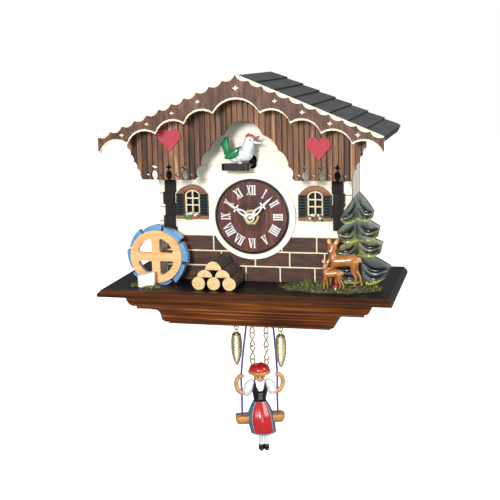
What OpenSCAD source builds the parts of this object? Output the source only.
// Chalet cuckoo clock with a battery movement and a figure on a swing.
// Millimetres, +Z up. The origin is the centre of the hanging hole, in the plane of the wall.
// The clock faces -Y. A depth is a distance in front of the wall, and a height is measured
// from the underside of the base board.

/* [Base] */
// Width of the base board
board_w = 210; // [190:1:260]
// Depth of the base board
board_d = 112; // [104:0.2:140]
// Thickness of the base board
board_t = 5; // [4:0.5:8]
// Bevel around the top edge of the base board
board_bevel = 2.8; // [1:0.2:3.6]
// Width of the upper moulding at its top
upper_w = 179; // [150:1:184]
// Height of the upper moulding
upper_h = 13; // [8:0.2:18]
// How far the upper moulding draws in towards its foot
upper_draw = 6.2; // [3:0.2:9]
// Width of the lower moulding at its top
lower_w = 141; // [130:1:160]
// Height of the lower moulding
lower_h = 14.4; // [8:0.2:18]
// How far the lower moulding draws in towards its foot
lower_draw = 10; // [5:0.5:13]
// Sideways shift of the lower moulding
lower_shift = -3.5; // [-6:0.5:6]
// Wall of the lower moulding at its foot
plinth_wall = 5; // [3:0.5:8]
// Step from the front of one moulding to the next
moulding_step = 5.6; // [3:0.2:8]
// Overhang of the base board beyond the upper moulding
board_overhang = 15.5; // [10:0.5:20]

/* [House] */
// Width of the front wall
house_w = 143; // [130:1:158]
// Depth of the house, from the wall to the face of its front wall
house_d = 65; // [60:1:74]
// Thickness of the house walls
wall_t = 4; // [3:0.5:5]
// Thickness of the back panel
back_t = 3; // [2:0.5:4]
// How far the front wall stands past each side wall
wall_lap = 3; // [1:0.5:6]
// Height of one siding board
siding_pitch = 10.3; // [7:0.1:14]
// Depth of the groove between siding boards
siding_groove = 0.5; // [0.2:0.1:1]
// Height of the brick panel
brick_panel_h = 33; // [24:1:36]
// Width of the brick panel
brick_panel_w = 132; // [110:1:140]
// Thickness of the brick panel
brick_panel_t = 1.8; // [1:0.1:2.4]
// Length of one brick
brick_l = 25.5; // [15:0.5:35]
// Width of a mortar joint
mortar = 1; // [0.5:0.1:1.6]
// Radius of the round collar behind the dial
collar_r = 31.5; // [29.5:0.5:33]
// Thickness of the collar
collar_t = 3.6; // [2.6:0.2:4.4]

/* [Roof] */
// Width of the roof across its eaves
roof_w = 198; // [190:1:240]
// Rise from the eaves to the ridge
roof_rise = 41.5; // [34:0.5:50]
// Height of the ridge
ridge_h = 155.2; // [150:0.5:175]
// Thickness of the roof boards
roof_t = 4; // [3:0.5:5]
// Radius of the roof's back corners, seen from above
eave_corner_r = 9; // [3:0.5:14]
// Number of shingle rows on each side
shingle_rows = 8; // [5:1:12]
// Thickness of a shingle at its lower edge
shingle_t = 2; // [1.2:0.2:3]
// Thickness of the bargeboard, and of the backing behind it
barge_t = 2.2; // [1.5:0.1:3]
// How far the roof ends behind the front edge of the base board
roof_setback = 1.4; // [-4:0.2:8]
// Width of the bargeboard beside its middle arch
barge_mid = 19.2; // [15:0.2:22]
// Width of the bargeboard at the eaves
barge_end = 11.8; // [9:0.2:14]
// Half width of the bargeboard's middle arch
barge_arch = 16.3; // [12:0.1:20]
// Rise of the middle arch
barge_arch_rise = 9.5; // [6:0.5:11]
// Side arches on each half of the bargeboard
barge_arches = 4; // [3:1:6]
// Rise of a side arch
barge_side_rise = 5.2; // [3:0.2:6]
// Scallops along each half of the bargeboard's top edge
barge_scallops = 11; // [7:1:15]
// Depth of a scallop
scallop_d = 2.1; // [1:0.1:3]
// Band of backing that shows below the bargeboard
barge_band = 1.7; // [1:0.1:2.4]

/* [Gable panel] */
// Depth of the gable panel's back face
gable_back = 88; // [80:1:96]
// Thickness of the gable panel
gable_t = 3; // [2:0.5:4]
// Half width of the gable panel at its top corners
gable_top = 85; // [76:0.5:92]
// Half width of the gable panel at its foot
gable_foot = 76; // [70:0.5:82]
// Half width of the arched opening at its foot
gable_open = 34; // [28:0.5:40]
// Height of the gable panel's foot
gable_z = 82; // [78:0.5:90]
// Height of the panel's top corners
gable_corner_z = 104.5; // [100:0.5:110]
// Height of the arched opening's crown
gable_crown = 123.5; // [118:0.5:128]
// Spacing of the reeds cut in the panel
reed_pitch = 3.9; // [2.5:0.1:6]
// Depth of the reeds
reed_d = 0.7; // [0.3:0.1:1.2]
// Width of a heart
heart_w = 17; // [10:0.5:20]
// Height of the left heart's centre
left_heart_z = 110.5; // [104:0.5:112]
// Height of the right heart's centre
right_heart_z = 104.5; // [104:0.5:112]
// Distance of a heart from the middle
heart_x = 53; // [45:0.5:62]

/* [Windows and posts] */
// Distance of a window from the middle
window_x = 45.5; // [42:0.5:50]
// Width of a window with its shutters
window_w = 24; // [18:0.5:26]
// Width of a window opening
window_open = 11; // [8:0.1:14]
// Height of a window's sill
window_sill = 52; // [46:0.5:60]
// Height of a window with its arch
window_h = 23.6; // [20:0.2:28]
// Thickness of a glazing bar
bar_t = 0.9; // [0.5:0.1:1.4]
// Distance of a corner post from the middle
post_x = 62.3; // [62.3:0.1:65]
// Width of a corner post
post_w = 8; // [5:0.5:8]
// Height of one block of a corner post
post_block = 8.7; // [6:0.1:12]

/* [Dial] */
// Height of the dial's centre
dial_z = 53.2; // [46:0.2:60]
// Outer radius of the dial's rim
dial_r = 27.3; // [22:0.05:29]
// Width of the rim
rim_w = 1.6; // [1:0.1:2.4]
// Thickness of the dial
dial_t = 1.8; // [1.2:0.1:3]
// Length of the minute hand
minute_l = 23; // [16:0.5:25]
// Length of the hour hand
hour_l = 22; // [14:0.5:24]
// Angle of the minute hand from twelve
minute_angle = 47; // [0:1:359]
// Angle of the hour hand from twelve
hour_angle = -59; // [-180:1:180]

/* [Movement] */
// Side of the square movement case
case_w = 56; // [50:1:60]
// Thickness of the movement case
case_t = 16; // [14:0.5:20]
// Radius of the threaded centre tube
tube_r = 4; // [3:0.1:4.4]
// Radius of the minute arbor
arbor_r = 0.9; // [0.6:0.02:1.2]
// Tooth size of the motion work, as diameter for each tooth
module_mm = 0.5; // [0.4:0.05:0.6]
// Running clearance of a shaft in its hole, on the radius
run = 0.05; // [0.02:0.01:0.08]

/* [Bird] */
// Height of the perch's top
perch_z = 92.6; // [88:0.2:98]
// Depth of the bird
bird_d = 80; // [76:1:84]
// Radius of the hole that the bird's arm passes through
bird_hole_r = 5.2; // [4:0.1:6]

/* [Water wheel] */
// Distance of the wheel from the middle
wheel_x = 68; // [66:0.5:69]
// Height of the wheel's centre
wheel_z = 25.4; // [24.8:0.2:30]
// Radius of the wheel's disc
wheel_r = 19.3; // [15:0.1:20]
// Radius over the paddles
paddle_r = 23.2; // [20:0.1:24]
// Number of paddles
paddles = 8; // [6:1:12]
// Thickness of the disc
disc_t = 3.2; // [2:0.1:5]
// Width of the paddle ring
paddle_t = 6; // [4:0.5:8]
// Radius of the wheel's axle
axle_r = 1.2; // [0.8:0.02:1.6]

/* [Swing] */
// Depth of the swing
swing_d = 55; // [50:1:60]
// Depth of the swing's pivot below the base board
pivot_drop = 9.5; // [8:0.5:12]
// Spacing of the cords at the top
cord_span = 19.4; // [16:0.2:22]
// Spacing of the cords at the seat
seat_span = 27.4; // [22:0.2:32]
// Drop from the base board's underside to the seat
seat_drop = 101; // [90:1:120]
// Length of the seat
seat_l = 35.4; // [30:0.2:42]
// Radius of a cord
cord_r = 0.85; // [0.5:0.05:1.2]
// Turn of the hanging seat, seen from above
swing_twist = 21; // [0:1:30]

/* [Chains] */
// Depth of the chains
chain_d = 32; // [26:1:34]
// Depth of the pine cones
cone_d = 57; // [52:1:60]
// Chain link length
link_l = 6.9; // [5:0.1:8]
// Chain link width
link_w = 3.4; // [2.4:0.1:4.4]
// Wire radius of a link
wire_r = 0.42; // [0.3:0.02:0.5]
// Links in each hanging chain
links = 12; // [6:1:12]
// Length of a pine cone
cone_l = 28; // [20:0.5:32]
// Radius of a pine cone
cone_r = 3.7; // [3:0.1:3.9]

/* [Back] */
// Height of the hanging hole
hook_h = 126; // [120:0.5:132]
// Radius of the hanging hole
hook_r = 3.2; // [2:0.1:4.5]
// Width of the service opening
door_w = 58; // [50:1:64]
// Height of the service opening
door_h = 62; // [50:1:66]
// Play of the sliding cover in its rails
slide_gap = 0.25; // [0.1:0.05:0.5]
// Thickness of the hanging plate
plate_t = 1.2; // [1:0.1:1.6]

/* [Hidden] */
$fn = 48;
eps = 0.01;

// House body
side_x = house_w / 2 - wall_lap;
front_back = house_d - wall_t;
collar_front = house_d + collar_t;

// Roof lines
eave_x = roof_w / 2;
pitch = atan(roof_rise / eave_x);
slope_l = eave_x / cos(pitch);
roof_d = board_d - roof_setback - 2 * barge_t;
shingle_mean = shingle_t * 0.75;
roof_under = roof_t + shingle_mean;
function roof_z(x) = ridge_h - abs(x) * tan(pitch);
function under_z(x) = roof_z(x) - roof_under / cos(pitch);

// Mouldings
upper_d = board_d - board_overhang;
lower_d = upper_d - upper_draw - moulding_step;
cavity_w = lower_w - 2 * lower_draw - 2 * plinth_wall;
cavity_d = lower_d - lower_draw - plinth_wall;
lower_z = -upper_h;

// Dial and movement
dial_d = collar_front;
case_front = front_back;
tube_out = dial_d + dial_t + 2.2;
hour_tube_r = 2.2;
hour_tube_wall = 0.55;
arbor_teeth = 10;
motion_teeth = 30;
motion_pinion = 8;
hour_teeth = 32;
gear_x = (arbor_teeth + motion_teeth) / 2 * module_mm;
gear_t = 1.4;
gear_d = case_front - 6;
hour_plane = dial_d + dial_t + 3.4;
hand_t = 0.7;
minute_plane = hour_plane + hand_t + 0.7;

// Back opening
door_z = 22;
door_x = 0;
cover_t = 2;
cover_lap = 4;
rail_t = 2;
switch_slot = [10, 4.4];
switch_at = [-50, 30];
speaker_at = [50.5, 82];
speaker_r = 12;

// Swing
swing_x = -0.6;
hanger_r = 0.9;
bar_drop = 7;
hand_drop = seat_drop - 31.5;
arm_r = 1.6;

cream = [0.93, 0.89, 0.78];
walnut = [0.33, 0.19, 0.12];
dark_wood = [0.24, 0.11, 0.06];

// ---------- helpers ----------
// Lowers everything so that the hanging hole's centre is the origin.
module hung() translate([0, 0, -hook_h]) children();

// An outline in X and height, standing d in front of the wall and t thick.
module facing(d, t) translate([0, -d, 0]) rotate([90, 0, 0]) linear_extrude(t) children();

// An outline in depth and height, drawn w wide across the middle.
module running(w) rotate([90, 0, -90]) linear_extrude(w, center = true) children();

// A round rod that starts d in front of the wall and runs towards the front.
module rod_y(x, z, d, l, r) translate([x, -d, z]) rotate([90, 0, 0]) cylinder(r = r, h = l);

// A round rod along X, centred on x.
module rod_x(x, d, z, l, r) translate([x, -d, z]) rotate([0, 90, 0]) cylinder(r = r, h = l, center = true);

// A block from its middle in X, its back face's depth and its lowest height.
module block(x, d, z, size) translate([x - size[0] / 2, -d - size[1], z]) cube(size);

// A round strut between two points.
module strut(a, b, r) {
    d = b - a;
    l = norm(d);
    translate(a) rotate([0, acos(d[2] / l), atan2(d[1], d[0])]) cylinder(r = r, h = l);
}

// Two ball ends joined by a smooth skin.
module limb(a, ra, b, rb) hull() {
    translate(a) sphere(ra, $fn = 14);
    translate(b) sphere(rb, $fn = 14);
}

// A ball stretched to the half sizes s.
module egg(at, s) translate(at) scale(s) sphere(1, $fn = 20);

// Points on an arc from a to b that bulges by s to the left of a-to-b.
function arc(a, b, s, n = 6) = let (
    m = (a + b) / 2, d = b - a, l = norm(d), u = d / l, v = [-u[1], u[0]],
    r = (l * l / 4 + s * s) / (2 * s), h = asin(l / 2 / r), c = m + v * (s - r)
) [for (i = [0:n]) let (t = h * (2 * i / n - 1)) c + r * (sin(t) * u + cos(t) * v)];

function flat(lists) = [for (l = lists) for (p = l) p];
function mirror_pts(pts) = [for (i = [len(pts) - 1:-1:0]) [-pts[i][0], pts[i][1]]];

module both_sides() {
    children();
    mirror([1, 0, 0]) children();
}

module star(r) polygon([
    for (i = [0:7]) let (q = i % 2 == 0 ? r : r * 0.42) q * [sin(45 * i), cos(45 * i)]
]);

module ring(ro, ri) difference() {
    circle(ro);
    circle(ri);
}

// ---------- base ----------
module base_board() color(dark_wood) hung() difference() {
    intersection() {
        facing(0, board_d) polygon([
            [-board_w / 2, 0], [board_w / 2, 0], [board_w / 2, board_t - board_bevel],
            [board_w / 2 - board_bevel, board_t], [board_bevel - board_w / 2, board_t],
            [-board_w / 2, board_t - board_bevel]
        ]);
        running(board_w) polygon([
            [0, 0], [board_d, 0], [board_d, board_t - board_bevel],
            [board_d - board_bevel, board_t], [0, board_t]
        ]);
    }
    wheel_pit();
}

// Slot that the paddles dip into.
module wheel_pit() block(-wheel_x, wheel_back - 1, -eps, [pit_l, paddle_t + disc_t + 2, board_t + 1]);
wheel_back = 78.5;
pit_l = 2 * sqrt(pow(paddle_r + 1, 2) - pow(wheel_z - board_t, 2)) + 2;

// A moulding with its profile on the front and both ends, h high, w by d at its top.
module moulding(w, d, z, h, profile) intersection() {
    facing(0, d) polygon(concat(
        [for (p = profile) [w / 2 - p[0], z - p[1] * h]],
        mirror_pts([for (p = profile) [w / 2 - p[0], z - p[1] * h]])
    ));
    running(w) polygon(concat([[0, z - h], [0, z]], [for (p = profile) [d - p[0], z - p[1] * h]]));
}

// Quarter round with a fillet below it.
function ovolo(draw) = concat(
    [[0, 0], [0, 0.1]],
    [for (i = [0:6]) let (a = i * 15) [draw * 0.86 * (1 - cos(a)), 0.1 + 0.74 * sin(a)]],
    [[draw, 0.84], [draw, 1]]
);

// Cove above a bead.
function cove(draw) = concat(
    [[0, 0], [0, 0.12], [0.8, 0.14]],
    [for (i = [0:6]) let (a = i * 15) [0.8 + draw * 0.45 * sin(a), 0.14 + 0.4 * (1 - cos(a))]],
    [for (i = [0:5]) let (a = i * 18) [draw * (0.55 + 0.45 * (1 - cos(a))), 0.58 + 0.34 * sin(a)]],
    [[draw, 1]]
);

module plinth_cavity(z, h)
    block(lower_shift, back_t, z - h - eps, [cavity_w, cavity_d - back_t, h + 2 * eps]);

module upper_moulding() color(dark_wood) hung() difference() {
    moulding(upper_w, upper_d, 0, upper_h, ovolo(upper_draw));
    plinth_cavity(0, upper_h);
}

module lower_moulding() color(dark_wood) hung() difference() {
    translate([lower_shift, 0, 0]) moulding(lower_w, lower_d, lower_z, lower_h, cove(lower_draw));
    plinth_cavity(lower_z, lower_h);
}

// ---------- house ----------
// Outline of a wall that meets the underside of the roof, half w wide.
module gable_outline(w) polygon([
    [-w, board_t], [w, board_t], [w, under_z(w)], [0, under_z(0)], [-w, under_z(w)]
]);

module side_wall() hung() intersection() {
    block(side_x - wall_t / 2, back_t, board_t, [wall_t, front_back - back_t, ridge_h]);
    facing(0, house_d) gable_outline(side_x);
}

module left_wall() color(cream) mirror([1, 0, 0]) side_wall();
module right_wall() color(cream) side_wall();

// Arched window opening, grown evenly all round.
module window_hole(grow) {
    w = window_open / 2 + grow;
    rise = window_open / 2 * window_arch_share;
    spring = window_sill + window_h - window_head - rise;
    polygon(concat([[-w, window_sill + 2 - grow], [w, window_sill + 2 - grow]],
        arc([w, spring], [-w, spring], -rise - grow, 10)));
}
window_head = 4;
window_arch_share = 0.6;

module front_wall() color(cream) hung() {
    difference() {
        union() {
            facing(front_back, wall_t) gable_outline(house_w / 2);
            facing(house_d - eps, collar_t + eps) translate([0, dial_z]) circle(collar_r, $fn = 96);
        }
        rod_y(0, dial_z, front_back - 1, wall_t + collar_t + 2, tube_r + 0.4);
        rod_y(bird_x, arm_z, front_back - 1, wall_t + 2, bird_hole_r);
        rod_y(-wheel_x, wheel_z, front_back - 1, wall_t + 2, bushing_r);
        for (s = [-1, 1]) translate([s * window_x, 0, 0]) facing(front_back - 1, wall_t + 2) window_hole(0);
        for (i = [0:siding_boards]) siding_cut(siding_z + i * siding_pitch);
    }
    for (s = [-1, 1]) difference() {
        block(bird_x + s * (ear_gap / 2 + 1), front_back - 7, arm_z - 3.5, [2, 7 + eps, 7]);
        rod_x(bird_x, front_back - 3.6, arm_z, 20, pin_r + run);
    }
}
siding_z = board_t + brick_panel_h;
siding_boards = floor((under_z(0) - siding_z) / siding_pitch) - 1;

// Groove across the siding, left out behind the dial's collar.
module siding_cut(z) difference() {
    block(0, house_d - siding_groove, z - 0.3, [house_w + 2, siding_groove + 1, 0.6]);
    rod_y(0, dial_z, house_d - 2, 4, collar_r);
}

module back_panel() color([0.62, 0.47, 0.3]) hung() {
    difference() {
        facing(0, back_t) gable_outline(side_x);
        block(door_x, -1, door_z, [door_w, back_t + 2, door_h]);
        block(switch_at[0], -1, switch_at[1] - switch_slot[1] / 2,
            [switch_slot[0], back_t + 2, switch_slot[1]]);
        for (i = [0:5], r = [0.38, 0.76] * speaker_r) rod_y(
            speaker_at[0] + r * cos(60 * i + 5 * r), speaker_at[1] + r * sin(60 * i + 5 * r),
            -1, back_t + 2, 1.1);
        rod_y(0, hook_h, -1, back_t + 2, hook_r + 1.4);
        facing(-1, plate_t + 1) plate_outline(slide_gap);
        for (p = plate_screws) rod_y(p[0], p[1], -1, back_t + 2, screw_r + slide_gap);
        for (p = panel_screws) screw_seat(p, slide_gap);
    }
    for (s = [-1, 1]) cover_rail(s);
}

// Countersunk hole for a screw, with play around it.
module screw_seat(p, play) translate([p[0], 0, p[1]]) rotate([90, 0, 0]) {
    translate([0, 0, -1]) cylinder(r = screw_r + play, h = back_t + 2);
    translate([0, 0, -eps]) cylinder(r1 = head_r + play, r2 = screw_r + play, h = head_h);
}

// Rail that holds one edge of the sliding cover.
module cover_rail(s) {
    w = door_w / 2 + cover_lap;
    block(door_x + s * (w + slide_gap + 1.5), back_t - eps, door_z - 2,
        [3, cover_t + 2 * slide_gap + eps, rail_h]);
    block(door_x + s * (w + slide_gap), back_t + cover_t + 2 * slide_gap - eps, door_z - 2,
        [6, rail_t, rail_h]);
}
rail_h = 75;
screw_r = 1.1;
head_r = 2.2;
head_h = 1.2;
screw_l = 11;
plate_screws = [[-11, hook_h], [11, hook_h]];
panel_screws = [for (s = [-1, 1], z = [16, 96]) [s * (side_x - wall_t / 2), z]];

module battery_door() color([0.2, 0.2, 0.21]) hung() difference() {
    block(door_x, back_t + slide_gap, door_z - 3, [door_w + 2 * cover_lap, cover_t, door_h + 6]);
    for (i = [0:4]) block(door_x, back_t - 1, door_z + 30 + 5 * i, [30, cover_t + 3, 1.6]);
    translate([door_x, -back_t, door_z + 12]) rotate([90, 0, 0]) scale([1.6, 0.7, 1])
        cylinder(r = 6, h = 1.4);
}

module plate_outline(grow) {
    translate([-15 - grow, hook_h - 6 - grow]) square([30 + 2 * grow, 12 + 2 * grow]);
    translate([0, hook_h]) circle(9 + grow);
}

// Plate let into the back panel. Its round hole is the one that the clock hangs from.
module hanger_plate() color("goldenrod") hung() difference() {
    facing(0, plate_t) difference() {
        plate_outline(0);
        translate([0, hook_h]) circle(hook_r);
    }
    for (p = plate_screws) screw_seat(p, 0.05);
}

module screw(p, l) translate([p[0], 0, p[1]]) rotate([90, 0, 0]) difference() {
    union() {
        cylinder(r1 = head_r - 0.05, r2 = screw_r, h = head_h);
        cylinder(r = screw_r, h = l);
    }
    for (a = [0, 90]) rotate(a) cube([2.6, 0.5, 1], center = true);
}

module case_screws() color("silver") hung() {
    for (p = plate_screws) screw(p, back_t + 1.5);
    for (p = panel_screws) screw(p, screw_l);
}

module sound_switch() color("black") hung() {
    block(switch_at[0], 0.6, switch_at[1] - 1.9, [4, back_t, 3.8]);
    block(switch_at[0], back_t + 0.3, switch_at[1] - 4, [16, 1.6, 8]);
}

module speaker() color([0.16, 0.16, 0.17]) hung() {
    rod_y(speaker_at[0], speaker_at[1], back_t, 3, speaker_r);
    rod_y(speaker_at[0], speaker_at[1], back_t + 3 - eps, 4, speaker_r * 0.6);
}

// ---------- roof ----------
// Cross-section of one roof board, right of the ridge.
module roof_section() polygon([
    [0, under_z(0)], [0, roof_board_z(0)],
    [eave_x - eave_round * cos(pitch), roof_board_z(eave_x - eave_round * cos(pitch))],
    [eave_x - 0.4, roof_board_z(eave_x) - eave_round * 0.5],
    [eave_foot, under_z(eave_foot)]
]);
eave_foot = eave_x - 0.4 - roof_t * sin(pitch);
function roof_board_z(x) = roof_z(x) - shingle_mean / cos(pitch);
eave_round = 1.6;

// Rounds the eave's back corner, seen from above.
module rounded_corner() difference() {
    children();
    translate([roof_edge - eave_corner_r, -eave_corner_r, 0]) difference() {
        cube([eave_corner_r + 1, eave_corner_r + 1, ridge_h + 1]);
        translate([0, 0, -1]) cylinder(r = eave_corner_r, h = ridge_h + 3);
    }
}
roof_edge = eave_x + shingle_t * sin(pitch);

module right_roof() color(walnut) hung() rounded_corner() facing(0, roof_d) roof_section();
module left_roof() color(walnut) mirror([1, 0, 0]) hung() rounded_corner()
    facing(0, roof_d) roof_section();

// Lapped shingles as a saw-tooth course that runs down the slope.
module shingle_course() {
    row = slope_l / shingle_rows;
    top = [0, roof_board_z(0)];
    along = [cos(pitch), -sin(pitch)];
    up = [sin(pitch), cos(pitch)];
    teeth = flat([for (i = [0:shingle_rows - 1]) [
        top + along * (i * row) + up * shingle_t * 0.45,
        top + along * ((i + 1) * row) + up * shingle_t
    ]]);
    start = top + [0, shingle_t * 0.45 / cos(pitch)];
    polygon(concat([top, start], [for (i = [1:len(teeth) - 1]) teeth[i]], [top + along * slope_l]));
}

module shingles() hung() rounded_corner() facing(0, roof_d) shingle_course();
module right_shingles() color([0.27, 0.28, 0.29]) shingles();
module left_shingles() color([0.27, 0.28, 0.29]) mirror([1, 0, 0]) shingles();

// Right half of the bargeboard's lower edge, from the eaves to the middle, lifted by up.
function barge_low(up) = let (
    n = barge_arches, x0 = barge_arch, x1 = eave_x,
    z0 = roof_z(x0) - barge_mid + up, z1 = roof_z(x1) - barge_end + up,
    cusp = [for (k = [n:-1:0]) [x0 + (x1 - x0) * k / n, z0 + (z1 - z0) * k / n]],
    side = [for (k = [0:n - 1]) arc(cusp[k], cusp[k + 1], -barge_side_rise, 7)],
    full = arc([x0, z0], [-x0, z0], -barge_arch_rise, 16)
) concat(flat(side), [for (i = [1:8]) full[i]]);

function barge_top_plain() = [[0, roof_z(0) + 0.3], [eave_x, roof_z(eave_x) + 0.3]];

// Right half of the scalloped top edge, from the middle to the eaves.
function barge_top_scalloped() = let (
    n = barge_scallops, step = eave_x / n,
    cusp = [for (k = [0:n]) [k * step, roof_z(k * step) - 0.5]]
) flat([for (k = [0:n - 1]) arc(cusp[k], cusp[k + 1], -scallop_d, 5)]);

module barge_outline(half) polygon(concat(half, mirror_pts(half)));

module bargeboard_backing() color(cream) hung() facing(roof_d, barge_t)
    barge_outline(concat(barge_top_plain(), barge_low(0)));

module bargeboard() color(walnut) hung() facing(roof_d + barge_t, barge_t) difference() {
    barge_outline(concat(barge_top_scalloped(), barge_low(barge_band)));
    translate([0, roof_z(0) - 9]) star(3.2);
    for (s = [-1, 1], k = [0:3]) let (x = star_x + star_pitch * k)
        translate([s * x, roof_z(x) - star_drop + 0.25 * k]) star(2.6);
}
star_x = 26.7;
star_pitch = 18.4;
star_drop = 6.6;

// ---------- gable panel ----------
// Right half of the panel's outline: outer edge up to the roof, then the arched opening.
function gable_edge() = let (n = 4, a = [gable_foot, gable_z + 3], b = [gable_top, gable_corner_z])
    flat([for (k = [0:n - 1]) arc(a + (b - a) * k / n, a + (b - a) * (k + 1) / n, 1.1, 3)]);

function gable_arch() = let (
    h = gable_crown - gable_z, w = gable_open,
    cusp = [[0.4 * w, gable_crown - 0.24 * h], [0.72 * w, gable_crown - 0.49 * h],
        [0.93 * w, gable_crown - 0.77 * h], [w, gable_z + 2]],
    crown = arc([-cusp[0][0], cusp[0][1]], cusp[0], 0.24 * h, 12)
) concat([for (i = [6:12]) crown[i]], flat([for (k = [0:2]) arc(cusp[k], cusp[k + 1], 2.1, 5)]));

module gable_panel_outline() {
    half = concat(gable_arch(), [[gable_open + 2, gable_z], [gable_foot - 1.5, gable_z]], gable_edge(),
        [[gable_top, under_z(gable_top)], [0, under_z(0)]]);
    polygon(half);
    mirror([1, 0]) polygon(half);
}

// Slot between two hanging boards, ending in a star.
module board_slot() {
    polygon(concat([[-0.8, gable_z - 1]], arc([-0.8, gable_z], [-0.8, gable_z + 6.6], 1.6, 5),
        arc([0.8, gable_z + 6.6], [0.8, gable_z], 1.6, 5), [[0.8, gable_z - 1]]));
    translate([0, gable_z + 9]) star(2.7);
}

module gable_panel() color([0.42, 0.26, 0.16]) hung() difference() {
    facing(gable_back, gable_t) difference() {
        gable_panel_outline();
        both_sides() for (x = slot_x) translate([x, 0]) board_slot();
        both_sides() for (x = lobe_x) translate([x, gable_z + 3.4]) star(1.7);
    }
    for (i = [-22:22]) translate([i * reed_pitch, -gable_back - gable_t, 0])
        rotate(45) cube([reed_d, reed_d, 400], center = true);
}
slot_x = [gable_open + 9, gable_open + 20.5, gable_open + 31.5];
lobe_x = [gable_open + 4.6, gable_open + 14.8, gable_open + 26, gable_open + 36.6];

module heart(w) {
    r = w * 0.27;
    polygon([[-w * 0.47, w * 0.06], [0, -w * 0.5], [w * 0.47, w * 0.06], [0, w * 0.2]]);
    for (s = [-1, 1]) translate([s * (w / 2 - r), w * 0.16]) circle(r);
}

module hearts() color("crimson") hung() for (i = [0, 1])
    translate([(2 * i - 1) * heart_x, 0, [left_heart_z, right_heart_z][i]])
        facing(gable_back + gable_t, 2) heart(heart_w);

// ---------- posts, bricks, windows ----------
// Stacks of blocks that stand out by turns. The left one goes on down to the bricks.
module corner_posts() color([0.17, 0.12, 0.1]) hung() {
    for (s = [-1, 1], k = [0:post_blocks - 1]) block(
        s * (post_x + (k % 2 == 0 ? 0.5 : -0.5)), house_d, post_z + k * post_block,
        [post_w, k % 2 == 0 ? 4.6 : 3.4, post_block + eps]);
    block(0.5 - post_x, house_d, brick_top, [post_w, 3.4, post_z - brick_top + eps]);
}
brick_top = board_t + brick_panel_h;
post_z = brick_top + 6.1;
post_blocks = 6;

module brick_panel() color([0.3, 0.17, 0.12]) hung() difference() {
    block(0, house_d, board_t, [brick_panel_w, brick_panel_t, brick_panel_h]);
    rod_y(0, dial_z, house_d - 1, 5, collar_r);
    rod_y(-wheel_x, wheel_z, house_d - 1, 5, bushing_r + 0.3);
    for (row = [1, 2]) block(0, house_d + brick_panel_t - 0.6, board_t + row * course - mortar / 2,
        [brick_panel_w + 1, 1, mortar]);
    for (row = [0:2], k = [-3:3]) block(
        (k + brick_start[row]) * brick_l, house_d + brick_panel_t - 0.6, board_t + row * course,
        [mortar, 1, course]);
}
course = brick_panel_h / 3;
brick_start = [-0.24, 0.04, -0.18];

module window_frames() color([0.45, 0.27, 0.15]) hung() for (s = [-1, 1]) translate([s * window_x, 0, 0]) {
    facing(house_d, 1) difference() {
        window_casing();
        window_hole(0);
    }
    facing(house_d + 1 - eps, 2 + eps) difference() {
        window_casing();
        translate([-window_w, 0]) square([2 * window_w, window_sill + window_h - 6.5]);
        window_hole(1);
    }
    block(0, house_d, window_sill - 1.4, [window_w, 3.4, 2.2]);
}

module window_casing() {
    w = window_w / 2;
    top = window_sill + window_h;
    polygon(concat([[-w, window_sill], [w, window_sill]], arc([w, top - 8], [-w, top - 8], -8, 16)));
}

module window_bars() color([0.95, 0.9, 0.72]) hung() for (s = [-1, 1]) translate([s * window_x, 0, 0])
    facing(house_d - 1.2, 1.9) {
        difference() {
            window_hole(0);
            window_hole(-bar_t);
        }
        intersection() {
            window_hole(0);
            union() {
                translate([-bar_t / 2, window_sill]) square([bar_t, window_h]);
                for (z = [8, 13]) translate([-window_open / 2, window_sill + z])
                    square([window_open, bar_t]);
            }
        }
    }

module window_panes() color([0.03, 0.03, 0.04]) hung() for (s = [-1, 1])
    block(s * window_x, front_back - 1, window_sill, [window_open + 4, 1, window_h - 1]);

module shutters() color([0.03, 0.2, 0.12]) hung() for (s = [-1, 1], t = [-1, 1])
    translate([s * window_x + t * (window_w / 2 - shutter_w / 2), 0, 0]) shutter();
shutter_w = (window_w - window_open) / 2 - 0.5;
shutter_h = window_h - 7.6;

module shutter() difference() {
    block(0, house_d + 1, window_sill + 1, [shutter_w, 1.8, shutter_h]);
    for (i = [0:6]) translate([0, -house_d - 2.8, window_sill + 3 + i * 2.1]) rotate([45, 0, 0])
        cube([shutter_w - 1.8, 0.8, 0.8], center = true);
}

// ---------- dial ----------
module dial() color([0.36, 0.12, 0.08]) hung() difference() {
    rod_y(0, dial_z, dial_d, dial_t, dial_r - rim_w - 0.02, $fn = 96);
    rod_y(0, dial_z, dial_d - 1, dial_t + 2, tube_r + 0.2);
    for (r = dial_rings) facing(dial_d + dial_t - 0.5, 1) translate([0, dial_z])
        ring(r + 0.45, r - 0.45);
}
dial_rings = [6, 7.8, 9.6];

module dial_rim() color("black") hung() translate([0, -dial_d, dial_z]) rotate([90, 0, 0])
    rotate_extrude($fn = 96) polygon([
        [dial_r - rim_w, 0], [dial_r, 0], [dial_r, 2.2], [dial_r - 0.5, 2.8],
        [dial_r - rim_w + 0.4, 2.8], [dial_r - rim_w, 2.3]
    ]);

numeral_h = 7;
numeral_r = dial_r - rim_w - 6.4;
// Strokes keep their full width where the numerals' inner ends are this far from the centre.
full_width_r = 15.8;
numeral_squeeze = (numeral_r - numeral_h / 2) / full_width_r;
// Strokes of each hour: i is a bar, v and x are pairs of slanted bars.
hours = ["i", "ii", "iii", "iiii", "v", "vi", "vii", "viii", "ix", "x", "xi", "xii"];
function glyph_w(c) = c == "i" ? 1.7 : 3.4;
function run_w(s, n) = n == 0 ? 0 : glyph_w(s[n - 1]) + run_w(s, n - 1);

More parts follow.
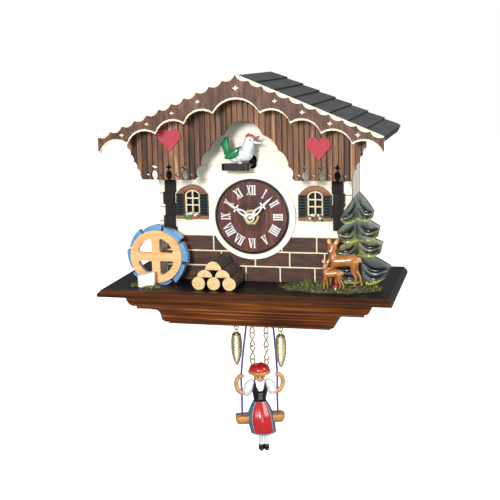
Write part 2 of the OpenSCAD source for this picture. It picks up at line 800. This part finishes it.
module slant(dx, t) polygon([
    [-dx / 2 - t / 2, -numeral_h / 2], [-dx / 2 + t / 2, -numeral_h / 2],
    [dx / 2 + t / 2, numeral_h / 2], [dx / 2 - t / 2, numeral_h / 2]
]);
module serif(x, z, w) translate([x - w / 2, z - 0.25]) square([w, 0.5]);

module glyph(c) {
    h = numeral_h / 2;
    if (c == "i") {
        translate([-0.5, -h]) square([1, numeral_h]);
        serif(0, h - 0.25, 1.72);
        serif(0, -h + 0.25, 1.72);
    }
    if (c == "v") {
        translate([-0.65, 0]) slant(-1.3, 1);
        translate([0.65, 0]) slant(1.3, 0.5);
        serif(-1.1, h - 0.25, 1.7);
        serif(1.1, h - 0.25, 1.7);
    }
    if (c == "x") {
        slant(-2.2, 1);
        slant(2.2, 0.5);
        for (s = [-1, 1], t = [-1, 1]) serif(s * 1.05, t * (h - 0.25), 1.5);
    }
}

module numerals() color("white") hung() translate([0, 0, dial_z]) facing(dial_d + dial_t, 0.5)
    for (hour = [1:12]) rotate(-30 * hour) translate([0, numeral_r]) {
        word = hours[hour - 1];
        flip = hour > 3 && hour < 9 ? 1 : 0;
        rotate(180 * flip) scale([numeral_squeeze, 1]) for (i = [0:len(word) - 1])
            translate([run_w(word, i) + (glyph_w(word[i]) - run_w(word, len(word))) / 2, 0])
                glyph(word[i]);
    }

// Outline of a fretted hand of length l that points up.
module hand_outline(l, hole) difference() {
    union() {
        circle(3.2);
        polygon([
            [-1.5, 2.4], [1.5, 2.4], [2.1, l * 0.3],
            [1.1, l * 0.5], [-1.1, l * 0.5], [-2.1, l * 0.3]
        ]);
        translate([0, l * 0.56]) rotate(45) square(2.7, center = true);
        translate([0, l * 0.56]) for (a = [-90, 90]) rotate(a) translate([-0.55, 0]) square([1.1, 2.9]);
        polygon([[-0.9, l * 0.55], [0.9, l * 0.55], [0.75, l * 0.8], [0, l], [-0.75, l * 0.8]]);
    }
    circle(hole);
    polygon([
        [-0.3, l * 0.2], [0.3, l * 0.2], [0.9, l * 0.31],
        [0.3, l * 0.44], [-0.3, l * 0.44], [-0.9, l * 0.31]
    ]);
    translate([0, l * 0.56]) circle(0.55);
}

module hour_hand() color("white") hung() translate([0, 0, dial_z]) facing(hour_plane, hand_t)
    rotate(-hour_angle) hand_outline(hour_l, hour_tube_r - 0.02);

module minute_hand() color("white") hung() translate([0, 0, dial_z]) facing(minute_plane, hand_t)
    rotate(-minute_angle) hand_outline(minute_l, arbor_r - 0.02);

module hand_cap() color("gold") hung() translate([0, -minute_plane - hand_t, dial_z]) rotate([90, 0, 0])
    rotate_extrude() polygon(concat([[0, 0], [2.2, 0]], [for (i = [0:6]) let (a = i * 15)
        [2.2 * cos(a), 0.5 + 1.8 * sin(a)]]));

// ---------- movement ----------
module movement_case() color([0.12, 0.12, 0.13]) hung() difference() {
    union() {
        block(0, case_front - case_t, dial_z - case_w / 2, [case_w, case_t, case_w]);
        rod_y(0, dial_z, case_front - eps, tube_out - case_front, tube_r);
    }
    rod_y(0, dial_z, gear_d, tube_out, hour_tube_r + run);
    rod_y(0, dial_z, gear_d - 4, 20, arbor_r + run);
    block(gear_x / 2 - 0.5, gear_d - 1, dial_z - gear_room, [gear_x + 2 * gear_room - 1, 5, 2 * gear_room]);
    rod_y(gear_x, dial_z, gear_d - 3, 3, pivot_r + run);
    block(0, case_front - case_t - eps, cell_z, [cell_l + 3, battery_r * 2 + 0.6, battery_r * 2 + 1.2]);
}
cell_z = dial_z - case_w / 2 + 4;
cell_l = 49;
gear_room = 10;
pivot_r = 0.6;
battery_r = 5.2;

module battery() color([0.75, 0.6, 0.2]) hung() {
    d = case_front - case_t + battery_r + 0.3;
    rod_x(0, d, cell_z + battery_r, cell_l, battery_r);
    rod_x(cell_l / 2 + 0.5, d, cell_z + battery_r, 1.6, 2.6);
}

module shaft_nut() color("goldenrod") hung() translate([0, -dial_d - dial_t, dial_z]) rotate([90, 0, 0])
    linear_extrude(1.8) difference() {
        circle(6, $fn = 6);
        circle(tube_r - 0.02);
    }

// A clock wheel or pinion with rounded teeth that leave play in the mesh.
module gear(teeth, m) {
    pr = teeth * m / 2;
    step = 360 / teeth;
    polygon(flat([for (i = [0:teeth - 1]) let (a = i * step) [
        (pr - m * 1.1) * [cos(a - step * 0.27), sin(a - step * 0.27)],
        pr * [cos(a - step * 0.19), sin(a - step * 0.19)],
        (pr + m * 0.75) * [cos(a - step * 0.07), sin(a - step * 0.07)],
        (pr + m * 0.75) * [cos(a + step * 0.07), sin(a + step * 0.07)],
        pr * [cos(a + step * 0.19), sin(a + step * 0.19)],
        (pr - m * 1.1) * [cos(a + step * 0.27), sin(a + step * 0.27)]
    ]]));
}

module geared(x, d, teeth, phase, bore) translate([x, 0, dial_z]) facing(d, gear_t) difference() {
    rotate(phase) gear(teeth, module_mm);
    if (bore > 0) circle(bore);
}

module minute_arbor() color("goldenrod") hung() {
    rod_y(0, dial_z, gear_d - 3, minute_plane + hand_t - gear_d + 3, arbor_r);
    geared(0, gear_d, arbor_teeth, 0, arbor_r - 0.02);
}

module motion_wheel() color("goldenrod") hung() {
    geared(gear_x, gear_d, motion_teeth, 180 + 180 / motion_teeth, 0);
    geared(gear_x, gear_d + gear_t + 0.2, motion_pinion, 0, 0);
    rod_y(gear_x, dial_z, gear_d - 2.6, 2.6 + 2 * gear_t, pivot_r);
}

module hour_wheel() color("goldenrod") hung() {
    geared(0, gear_d + gear_t + 0.2, hour_teeth, 180 / hour_teeth, hour_tube_r - hour_tube_wall);
    translate([0, 0, dial_z]) facing(gear_d + gear_t + 0.2, hour_plane + hand_t - gear_d - gear_t - 0.2)
        ring(hour_tube_r, arbor_r + run);
}

// ---------- bird ----------
bird_x = -1;
arm_z = 92.2;
arm_rod_r = 1.5;
ear_gap = 6;
pin_r = 0.9;
perch_t = 5;

module bird_perch() color([0.05, 0.05, 0.05]) hung() {
    translate([bird_x - 7.6, -bird_d, perch_z - perch_t]) linear_extrude(perch_t) hull() for (s = [-1, 1])
        translate([s * 7.6, 0]) circle(2.6, $fn = 32);
    rod_y(bird_x, arm_z - 2, front_back - 5, bird_d - front_back + 5, arm_rod_r);
    translate([bird_x, 0, arm_z - 1]) facing(front_back - 5.4, 4) square([3.6, 4.4], center = true);
    rod_x(bird_x, front_back - 3.6, arm_z, ear_gap + 3.6, pin_r);
}

module bird_body() color("white") hung() translate([bird_x, -bird_d, perch_z]) {
    limb([-7, 0, 4.6], 4.2, [1.2, 0, 8.6], 4.4);
    limb([1.2, 0, 9], 4.4, [2.4, 0, 16.6], 3.6);
    limb([-8, 0, 5.4], 3.8, [-13.2, 0, 11], 2.2);
    limb([-13.2, 0, 11], 2, [-15, 0, 16.4], 2.6);
    limb([5, 0, 16.2], 1, [9.6, 0, 17.6], 0.5);
    limb([5, 0, 14.8], 0.9, [10.4, 0, 13.8], 0.5);
    block(-4, -1.4, -0.6, [3, 2.8, 3]);
}

// ---------- water wheel ----------
bushing_r = 2.6;

module wheel_bushing() color("goldenrod") hung() translate([-wheel_x, 0, wheel_z])
    facing(front_back, wheel_back - front_back - 0.6) ring(bushing_r - 0.02, axle_r + run);

module wheel_axle() color("silver") hung()
    rod_y(-wheel_x, wheel_z, front_back + 0.5, axle_front - front_back - 0.5, axle_r);
axle_front = wheel_back + paddle_t + disc_t / 2;

// One rounded opening between two spokes.
module wheel_window() {
    inner = 3;
    outer = wheel_r * 0.73;
    offset(r = 1.4, $fn = 16) offset(r = -1.4) intersection() {
        circle(outer);
        translate([inner, inner]) square(outer);
    }
}

module wheel_disc() color([0.9, 0.62, 0.36]) hung() difference() {
    translate([-wheel_x, 0, wheel_z]) facing(wheel_back + paddle_t, disc_t) difference() {
        circle(wheel_r, $fn = 72);
        for (i = [0:3]) rotate(90 * i) wheel_window();
    }
    rod_y(-wheel_x, wheel_z, wheel_back + paddle_t - 1, 1 + disc_t * 0.7, axle_r - 0.02);
}

module wheel_paddles() color([0.3, 0.6, 0.85]) hung() translate([-wheel_x, 0, wheel_z])
    facing(wheel_back, paddle_t) difference() {
        union() {
            ring(wheel_r - 1.2, wheel_r - 3.6);
            for (i = [0:paddles - 1]) rotate(i * 360 / paddles - 10) paddle_blade();
            for (a = [0, 90]) rotate(a) square([2 * wheel_r - 4, 3.4], center = true);
        }
        circle(axle_r - 0.02);
    }

// A blade that leans out of the ring as it goes round.
module paddle_blade() {
    sweep = 360 / paddles - 7;
    outer = [for (i = [0:6]) let (a = sweep * i / 6) (paddle_r - 1.6 * i / 6) * [sin(-a), cos(-a)]];
    inner = [for (i = [6:-1:0]) let (a = sweep * i / 6) (wheel_r - 1.6) * [sin(-a), cos(-a)]];
    polygon(concat(outer, inner));
}

// ---------- swing ----------
module pendulum_drive() color([0.1, 0.1, 0.1]) hung() difference() {
    union() {
        block(0, swing_d - 9, -6, [2 * lug_x + 6, 18, 6]);
        for (s = [-1, 1]) block(s * lug_x, swing_d - 3, -pivot_drop - 3, [3, 6, pivot_drop]);
    }
    rod_x(0, swing_d, -pivot_drop, 60, hanger_r + run);
}
lug_x = 12;

module swing_hanger() color("silver") hung() {
    rod_x(0, swing_d, -pivot_drop, 2 * lug_x + 6, hanger_r);
    for (s = [-1, 1]) strut([s * 5, -swing_d, -pivot_drop], [s * 5, -swing_d, -pivot_drop - bar_drop], 0.8);
    rod_x(0, swing_d, -pivot_drop - bar_drop, cord_span + 4, 1);
    for (s = [-1, 1]) rod_x(s * 5, swing_d, -pivot_drop, 2.4, 1.5);
}

// Point on the hanging swing: u across, v towards the front, at a height.
function on_swing(u, v, z) = [
    swing_x + u * cos(swing_twist) + v * sin(swing_twist),
    -swing_d + u * sin(swing_twist) - v * cos(swing_twist), z
];

module swing_cords() color([0.2, 0.25, 0.62]) hung() for (s = [-1, 1]) {
    top = [s * cord_span / 2, -swing_d, -pivot_drop - bar_drop + 1];
    grip = on_swing(s * seat_span / 2, 0, -hand_drop);
    seat = on_swing(s * seat_span / 2, 0, -seat_drop - 3);
    limb(top, cord_r, grip, cord_r);
    limb(grip, cord_r, seat, cord_r);
}

module swing_seat() color([0.72, 0.48, 0.22]) hung() translate([swing_x, -swing_d, -seat_drop])
    rotate(swing_twist) intersection() {
        rotate([0, 90, 0]) cylinder(r = 5.6, h = seat_l, center = true);
        translate([-seat_l, -10, -8]) cube([2 * seat_l, 20, 8]);
    }

module on_seat() translate([swing_x, -swing_d, -seat_drop]) rotate(swing_twist) children();

module doll_figure() color("firebrick") hung() on_seat() {
    translate([0, -2, -17]) rotate_extrude($fn = 40) polygon([
        [0, 0], [11, 0], [11.6, 1.4], [10.4, 9], [8.6, 16.5], [6, 22], [4.4, 26.5], [4.8, 30], [5.6, 35],
        [5.4, 40], [3, 42], [1.9, 43], [2.4, 44.4], [3.4, 46.4], [3.5, 48.2], [7.8, 49.4], [8.7, 50.6],
        [8.3, 52], [7, 54.6], [5.4, 57.2], [3.6, 58.4], [0, 58.8]
    ]);
    for (s = [-1, 1]) {
        translate([s * 2.2 + 1.5, -3, -25]) cylinder(r = 1.7, h = 9);
        egg([s * 2.2 + 1.5, -4.4, -26.6], [2, 3.6, 2.2]);
    }
}

module doll_arms() color([0.85, 0.62, 0.38]) hung() on_seat() for (s = [-1, 1]) {
    elbow = [s * (seat_span / 2 + 2.1), -1.2, 18.5];
    wrist = [s * (seat_span / 2 + 3.3), -0.6, 26.5];
    limb([s * 6.2, -1, 23.5], 3.6, [s * 9.4, -1, 17.5], 3.6);
    limb([s * 10.4, -1.6, 16.5], arm_r, elbow, arm_r);
    limb(elbow, arm_r, wrist, arm_r);
    limb(wrist, arm_r, [s * (seat_span / 2 + 1.9), 0, 29.8], arm_r);
}

// ---------- chains and pine cones ----------
chain_x = [-11.2, -0.2];
cone_x = [-17.2, 16.8];

// A wire eye that is screwed up into the base board, ending at height z.
module eye(x, d, z) {
    rod_z(x, d, z + eye_r - 0.2, board_t - 1 - z - eye_r + 0.2, 0.6);
    translate([x, -d, z]) rotate([0, 90, 0]) wire_ring(eye_r, eye_wire_r);
}
module wire_ring(r, wire) rotate_extrude($fn = 32) translate([r, 0]) circle(wire, $fn = 20);
module rod_z(x, d, z, l, r) translate([x, -d, z]) cylinder(r = r, h = l);
chain_top = -12;
cone_top = -31;

module chain_hooks() color("goldenrod") hung() {
    for (x = chain_x) eye(x, chain_d, chain_top);
    for (x = cone_x) eye(x, cone_d, cone_top);
}

// An oval link that hangs from z and faces the angle a.
module link(z, a) translate([0, 0, z - link_l / 2]) rotate(a) {
    straight = link_l - link_w;
    for (s = [-1, 1]) {
        translate([s * (link_w / 2 - wire_r), 0, -straight / 2])
            cylinder(r = wire_r, h = straight, $fn = 16);
        translate([0, 0, s * straight / 2]) rotate([90, s > 0 ? 0 : 180, 0])
            rotate_extrude(angle = 180, $fn = 24) translate([link_w / 2 - wire_r, 0])
                circle(wire_r, $fn = 16);
    }
}

// Links hang one in the next, with a little play so that each stays a separate piece.
module chain(x) hung() translate([x, -chain_d, chain_top - eye_reach + 2 * wire_r])
    for (i = [0:links - 1]) link(-i * (link_l - 4 * wire_r - link_play), i % 2 == 0 ? 0 : 90);
link_play = 0.06;
hang_gap = 0.15;
eye_r = 1.6;
eye_wire_r = 0.5;
// Depth below an eye's centre of the top of whatever hangs in it, less its own wire.
eye_reach = eye_r - eye_wire_r - hang_gap;

module left_chain() color("goldenrod") chain(chain_x[0]);
module right_chain() color("goldenrod") chain(chain_x[1]);

loop_r = 1.6;
loop_wire_r = 0.45;
cone_z = cone_top - eye_reach + loop_wire_r - loop_r;

// A pine cone with its wire loop, which hangs in an eye.
module pine_cone(x) hung() translate([x, -cone_d, cone_z]) {
    rotate([90, 0, 0]) wire_ring(loop_r, loop_wire_r);
    translate([0, 0, -loop_r - 1.6]) cylinder(r = 0.7, h = 1.6);
    translate([0, 0, -loop_r - 1.4 - cone_l]) rotate_extrude($fn = 32) polygon(concat(
        [for (i = [0:12]) let (t = i / 12) [cone_r * cone_swell(t), cone_l * t]], [[0, cone_l], [0, 0]]));
}
// Fullness of a pine cone, from its tip at 0 to its top at 1.
function cone_bulge(t) = t < 0.56 ? t / 0.56 : 1 - 0.9 * pow((t - 0.56) / 0.44, 2);
function cone_swell(t) = 0.08 + 0.92 * pow(sin(90 * cone_bulge(t)), 0.8);

module left_cone() color("gold") pine_cone(cone_x[0]);
module right_cone() color("gold") pine_cone(cone_x[1]);

// ---------- things standing on the base board ----------
log_r = 4.9;
log_l = 29;
log_front = 101;

module half_log(x, z, r) translate([x, -log_front, z]) rotate([-90, 0, 0]) intersection() {
    cylinder(r = r, h = log_l);
    translate([-r, -r, 0]) cube([2 * r, r, log_l]);
}

module log_pile() color([0.25, 0.17, 0.12]) hung() translate([-21.3, 0, board_t]) {
    for (x = [-10.9, 0, 11.4]) rod_y(x, log_r, log_front - log_l, log_l, log_r);
    half_log(-6.4, 2 * log_r - 0.3, 5.4);
    half_log(6.6, 2 * log_r - 0.3, 5.4);
    half_log(0, 2 * log_r + 4.9, 6);
}

module moss_patch() color([0.3, 0.36, 0.1]) hung() translate([59, -84, board_t]) scale([36, 15, 1])
    cylinder(r1 = 1, r2 = 0.86, h = 1.6, $fn = 40);

// A carved spruce in four tiers.
module tree() color([0.2, 0.28, 0.26]) hung() translate([79, -tree_d, board_t]) {
    for (t = spruce) hull() {
        translate([t[3], 0, t[1]]) cube([1.4, 2, 1], center = true);
        translate([-t[2], 0, t[0]]) cube([1, 4, 2], center = true);
        translate([t[2], 0, t[0]]) cube([1, 4, 2], center = true);
        translate([0.5, -3.4, t[0] - 2]) cube([4, 2, 2], center = true);
    }
    translate([3, 0, 0]) cylinder(r = 3, h = 12);
}
tree_d = house_d + 7;
// Each tier's foot height, top height, half width and lean of its tip.
spruce = [[49, 68, 12, -1], [38, 59, 15, -1], [25, 48, 17, 0], [10, 37, 19.5, 0]];

module doe() color([0.75, 0.45, 0.22]) hung() translate([0, -82, board_t + 1]) {
    limb([61.5, 0, 19], 4, [75.5, -1, 18.6], 4.2);
    limb([60.6, 0, 21], 3, [59.2, 0, 29.5], 1.9);
    limb([59.6, 0, 31], 2.5, [56, 0, 27.2], 1.2);
    for (s = [-1, 1]) limb([60.6 + s * 1.2, s * 1, 33], 1, [61 + s * 3.2, s * 1.4, 37], 0.5);
    for (s = [-1, 1]) limb([62.6, s * 2, 17], 1.6, [63.4 + s, s * 2.4, 0.8], 0.9);
    for (s = [-1, 1]) limb([75.6, s * 2, 17], 2.6, [76.4 + s, s * 2.2, 9], 1.1);
    for (s = [-1, 1]) limb([76.4 + s, s * 2.2, 9], 1.1, [77.8 + 2 * s, s * 2.6, 0.8], 0.9);
}

module fawn() color([0.75, 0.45, 0.22]) hung() translate([0, -92, board_t + 1]) {
    limb([58.4, 0, 11.8], 2.3, [66.4, 0, 11.8], 2.4);
    limb([58, 0, 13], 1.7, [57.6, 0, 17.4], 1.2);
    limb([57.8, 0, 18.6], 1.7, [55.4, 0, 16.4], 0.9);
    for (s = [-1, 1]) limb([58.2 + s, s * 0.8, 20], 0.7, [58.6 + s * 2, s, 22.4], 0.4);
    for (s = [-1, 1]) limb([58.8, s * 1.2, 10.4], 1.1, [57 + s, s * 1.6, 0.6], 0.6);
    for (s = [-1, 1]) limb([66.6, s * 1.2, 10.4], 1.4, [67.4 + s * 1.4, s * 1.6, 0.6], 0.6);
}

base_board();
upper_moulding();
lower_moulding();
left_wall();
right_wall();
front_wall();
back_panel();
hanger_plate();
left_roof();
right_roof();
left_shingles();
right_shingles();
bargeboard();
bargeboard_backing();
gable_panel();
hearts();
corner_posts();
brick_panel();
window_frames();
window_bars();
window_panes();
shutters();
dial();
dial_rim();
numerals();
movement_case();
shaft_nut();
speaker();
battery();
log_pile();
moss_patch();
tree();
doe();
fawn();
wheel_bushing();
pendulum_drive();
chain_hooks();
case_screws();
minute_hand();
hand_cap();
minute_arbor();
hour_hand();
hour_wheel();
motion_wheel();
bird_body();
bird_perch();
wheel_disc();
wheel_paddles();
wheel_axle();
swing_hanger();
swing_cords();
swing_seat();
doll_figure();
doll_arms();
left_chain();
right_chain();
left_cone();
right_cone();
battery_door();
sound_switch();
